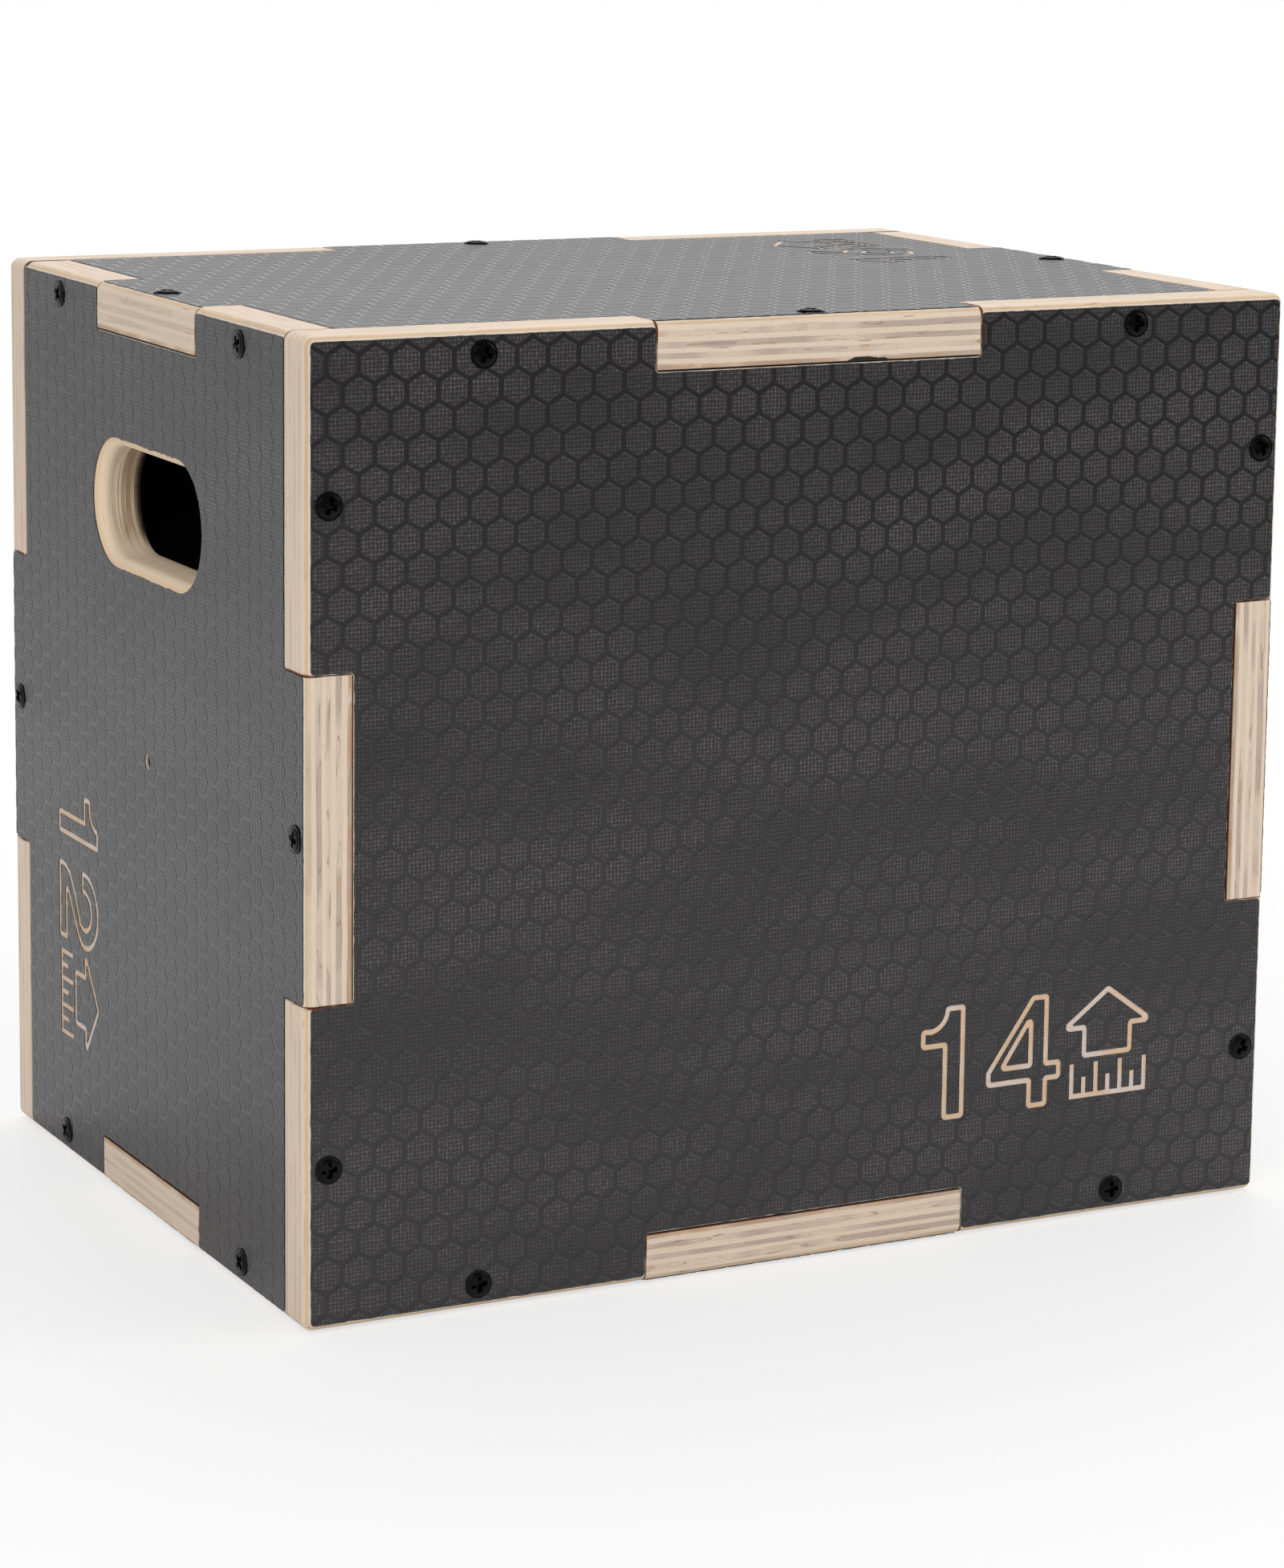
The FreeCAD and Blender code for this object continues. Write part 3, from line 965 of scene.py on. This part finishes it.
def add_floor():
    """A pale floor that takes the shadow near the box and runs out into white."""
    n = Nodes(bpy.data.materials.new("floor_pale"))
    spot = n.add("TexCoord").outputs["Object"]
    length = n.add("VectorMath", {0: spot}, operation="LENGTH").outputs["Value"]
    tint = n.mix(n.noise(spot, FLOOR_SCALE), (0.88, 0.88, 0.88, 1), (0.9, 0.9, 0.9, 1))
    tint = n.mix(n.smooth(length, *ROOM_REACH), tint, (0.3, 0.3, 0.3, 1))
    n.shade(Base_Color=tint, Roughness=0.9, Specular_IOR_Level=0.1)
    white = n.add("Emission", {"Strength": 1.0}).outputs[0]
    plain = n.math("MULTIPLY_ADD", n.smooth(length, *SHADOW_REACH), 1 - SHADOW_LIFT, SHADOW_LIFT)
    back = n.add("SeparateXYZ", {"Vector": spot}).outputs[1]
    behind = n.math("MULTIPLY", n.smooth(back, *BEHIND), BEHIND_SHARE)
    near = n.math("MULTIPLY", n.smooth(length, *NEAR_REACH), n.smooth(back, *IN_FRONT))
    share = n.math("MULTIPLY", plain, n.seen(n.math("MAXIMUM", behind, near)))
    lit = n.tree.nodes["Principled BSDF"].outputs[0]
    both = n.add("MixShader", {0: share, 1: lit, 2: white}).outputs[0]
    n.put(n.tree.nodes["Material Output"].inputs["Surface"], both)
    mesh = bpy.data.meshes.new("floor")
    corners = [(x * FLOOR_REACH, y * FLOOR_REACH, 0) for x, y in ((-1, -1), (1, -1), (1, 1), (-1, 1))]
    mesh.from_pydata(corners, [], [(0, 1, 2, 3)])
    mesh.materials.append(n.owner)
    floor = bpy.data.objects.new("floor", mesh)
    bpy.context.scene.collection.objects.link(floor)


def add_world():
    """Soft light from all round, and a white background."""
    n = Nodes(bpy.data.worlds.new("studio"))
    ambient = n.tree.nodes["Background"]
    direction = n.add("SeparateXYZ", {"Vector": n.add("TexCoord").outputs["Generated"]}).outputs
    behind = n.smooth(direction[1], *BEHIND)
    glossy = n.add("LightPath").outputs["Is Glossy Ray"]
    n.put(ambient.inputs["Color"], (1, 1, 1, 1))
    n.put(ambient.inputs["Strength"], n.math("MULTIPLY_ADD", glossy, -GLOSSY_CUT, AMBIENT))
    white = n.add("Background", {"Color": (1, 1, 1, 1), "Strength": 1.0}).outputs[0]
    low = n.smooth(direction[2], *LOW)
    share = n.seen(n.math("MULTIPLY", behind, low))
    both = n.add("MixShader", {0: share, 1: ambient.outputs[0], 2: white}).outputs[0]
    n.put(n.tree.nodes["World Output"].inputs["Surface"], both)
    bpy.context.scene.world = n.owner


def add_light(name, place, size, power):
    """A square soft box that faces the middle of the box."""
    data = bpy.data.lights.new(name, "AREA")
    data.shape = "SQUARE"
    data.size = size
    data.energy = power
    light = bpy.data.objects.new(name, data)
    light.location = place
    light.rotation_euler = (Vector(LAMP_AIM) - Vector(place)).to_track_quat("-Z", "Y").to_euler()
    bpy.context.scene.collection.objects.link(light)


def add_camera():
    """A camera where the photograph was taken from, shifted to the photograph's framing."""
    turn, rise, roll = (math.radians(angle) for angle in (AZIMUTH, ELEVATION, ROLL))
    back = Vector((math.sin(turn) * math.cos(rise), -math.cos(turn) * math.cos(rise), math.sin(rise)))
    right = Vector((math.cos(turn), math.sin(turn), 0))
    down = right.cross(back)
    right, down = (right * math.cos(roll) - down * math.sin(roll),
                   right * math.sin(roll) + down * math.cos(roll))
    data = bpy.data.cameras.new("camera")
    data.sensor_fit = "AUTO"
    data.lens = FOCAL_PIXELS / PHOTO_HIGH * data.sensor_width
    data.shift_y = (HORIZON_PIXEL - PHOTO_HIGH / 2) / PHOTO_HIGH
    camera = bpy.data.objects.new("camera", data)
    middle = (CAD_BOX[0] + CAD_BOX[1]) / 2
    aside, below, ahead = BOX_IN_VIEW
    place = middle - right * aside - down * below + back * ahead
    camera.matrix_world = Matrix.Translation(place) @ Matrix((right, -down, back)).transposed().to_4x4()
    bpy.context.scene.collection.objects.link(camera)
    bpy.context.scene.camera = camera


def main():
    bpy.context.scene.view_settings.view_transform = "Standard"
    film, mark, liner = film_material(), mark_material(), liner_material()
    driven = screw_mesh(screw_material())
    for face in FACES:
        dress_film(face, film, mark)
        dress_screws(face, driven)
        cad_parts[face.name + "_panel"].material_slots[0].material = plywood_material(face)
        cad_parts[face.name + "_liner"].material_slots[0].material = liner
    add_floor()
    add_world()
    for lamp in LAMPS:
        add_light(*lamp)
    add_camera()


main()
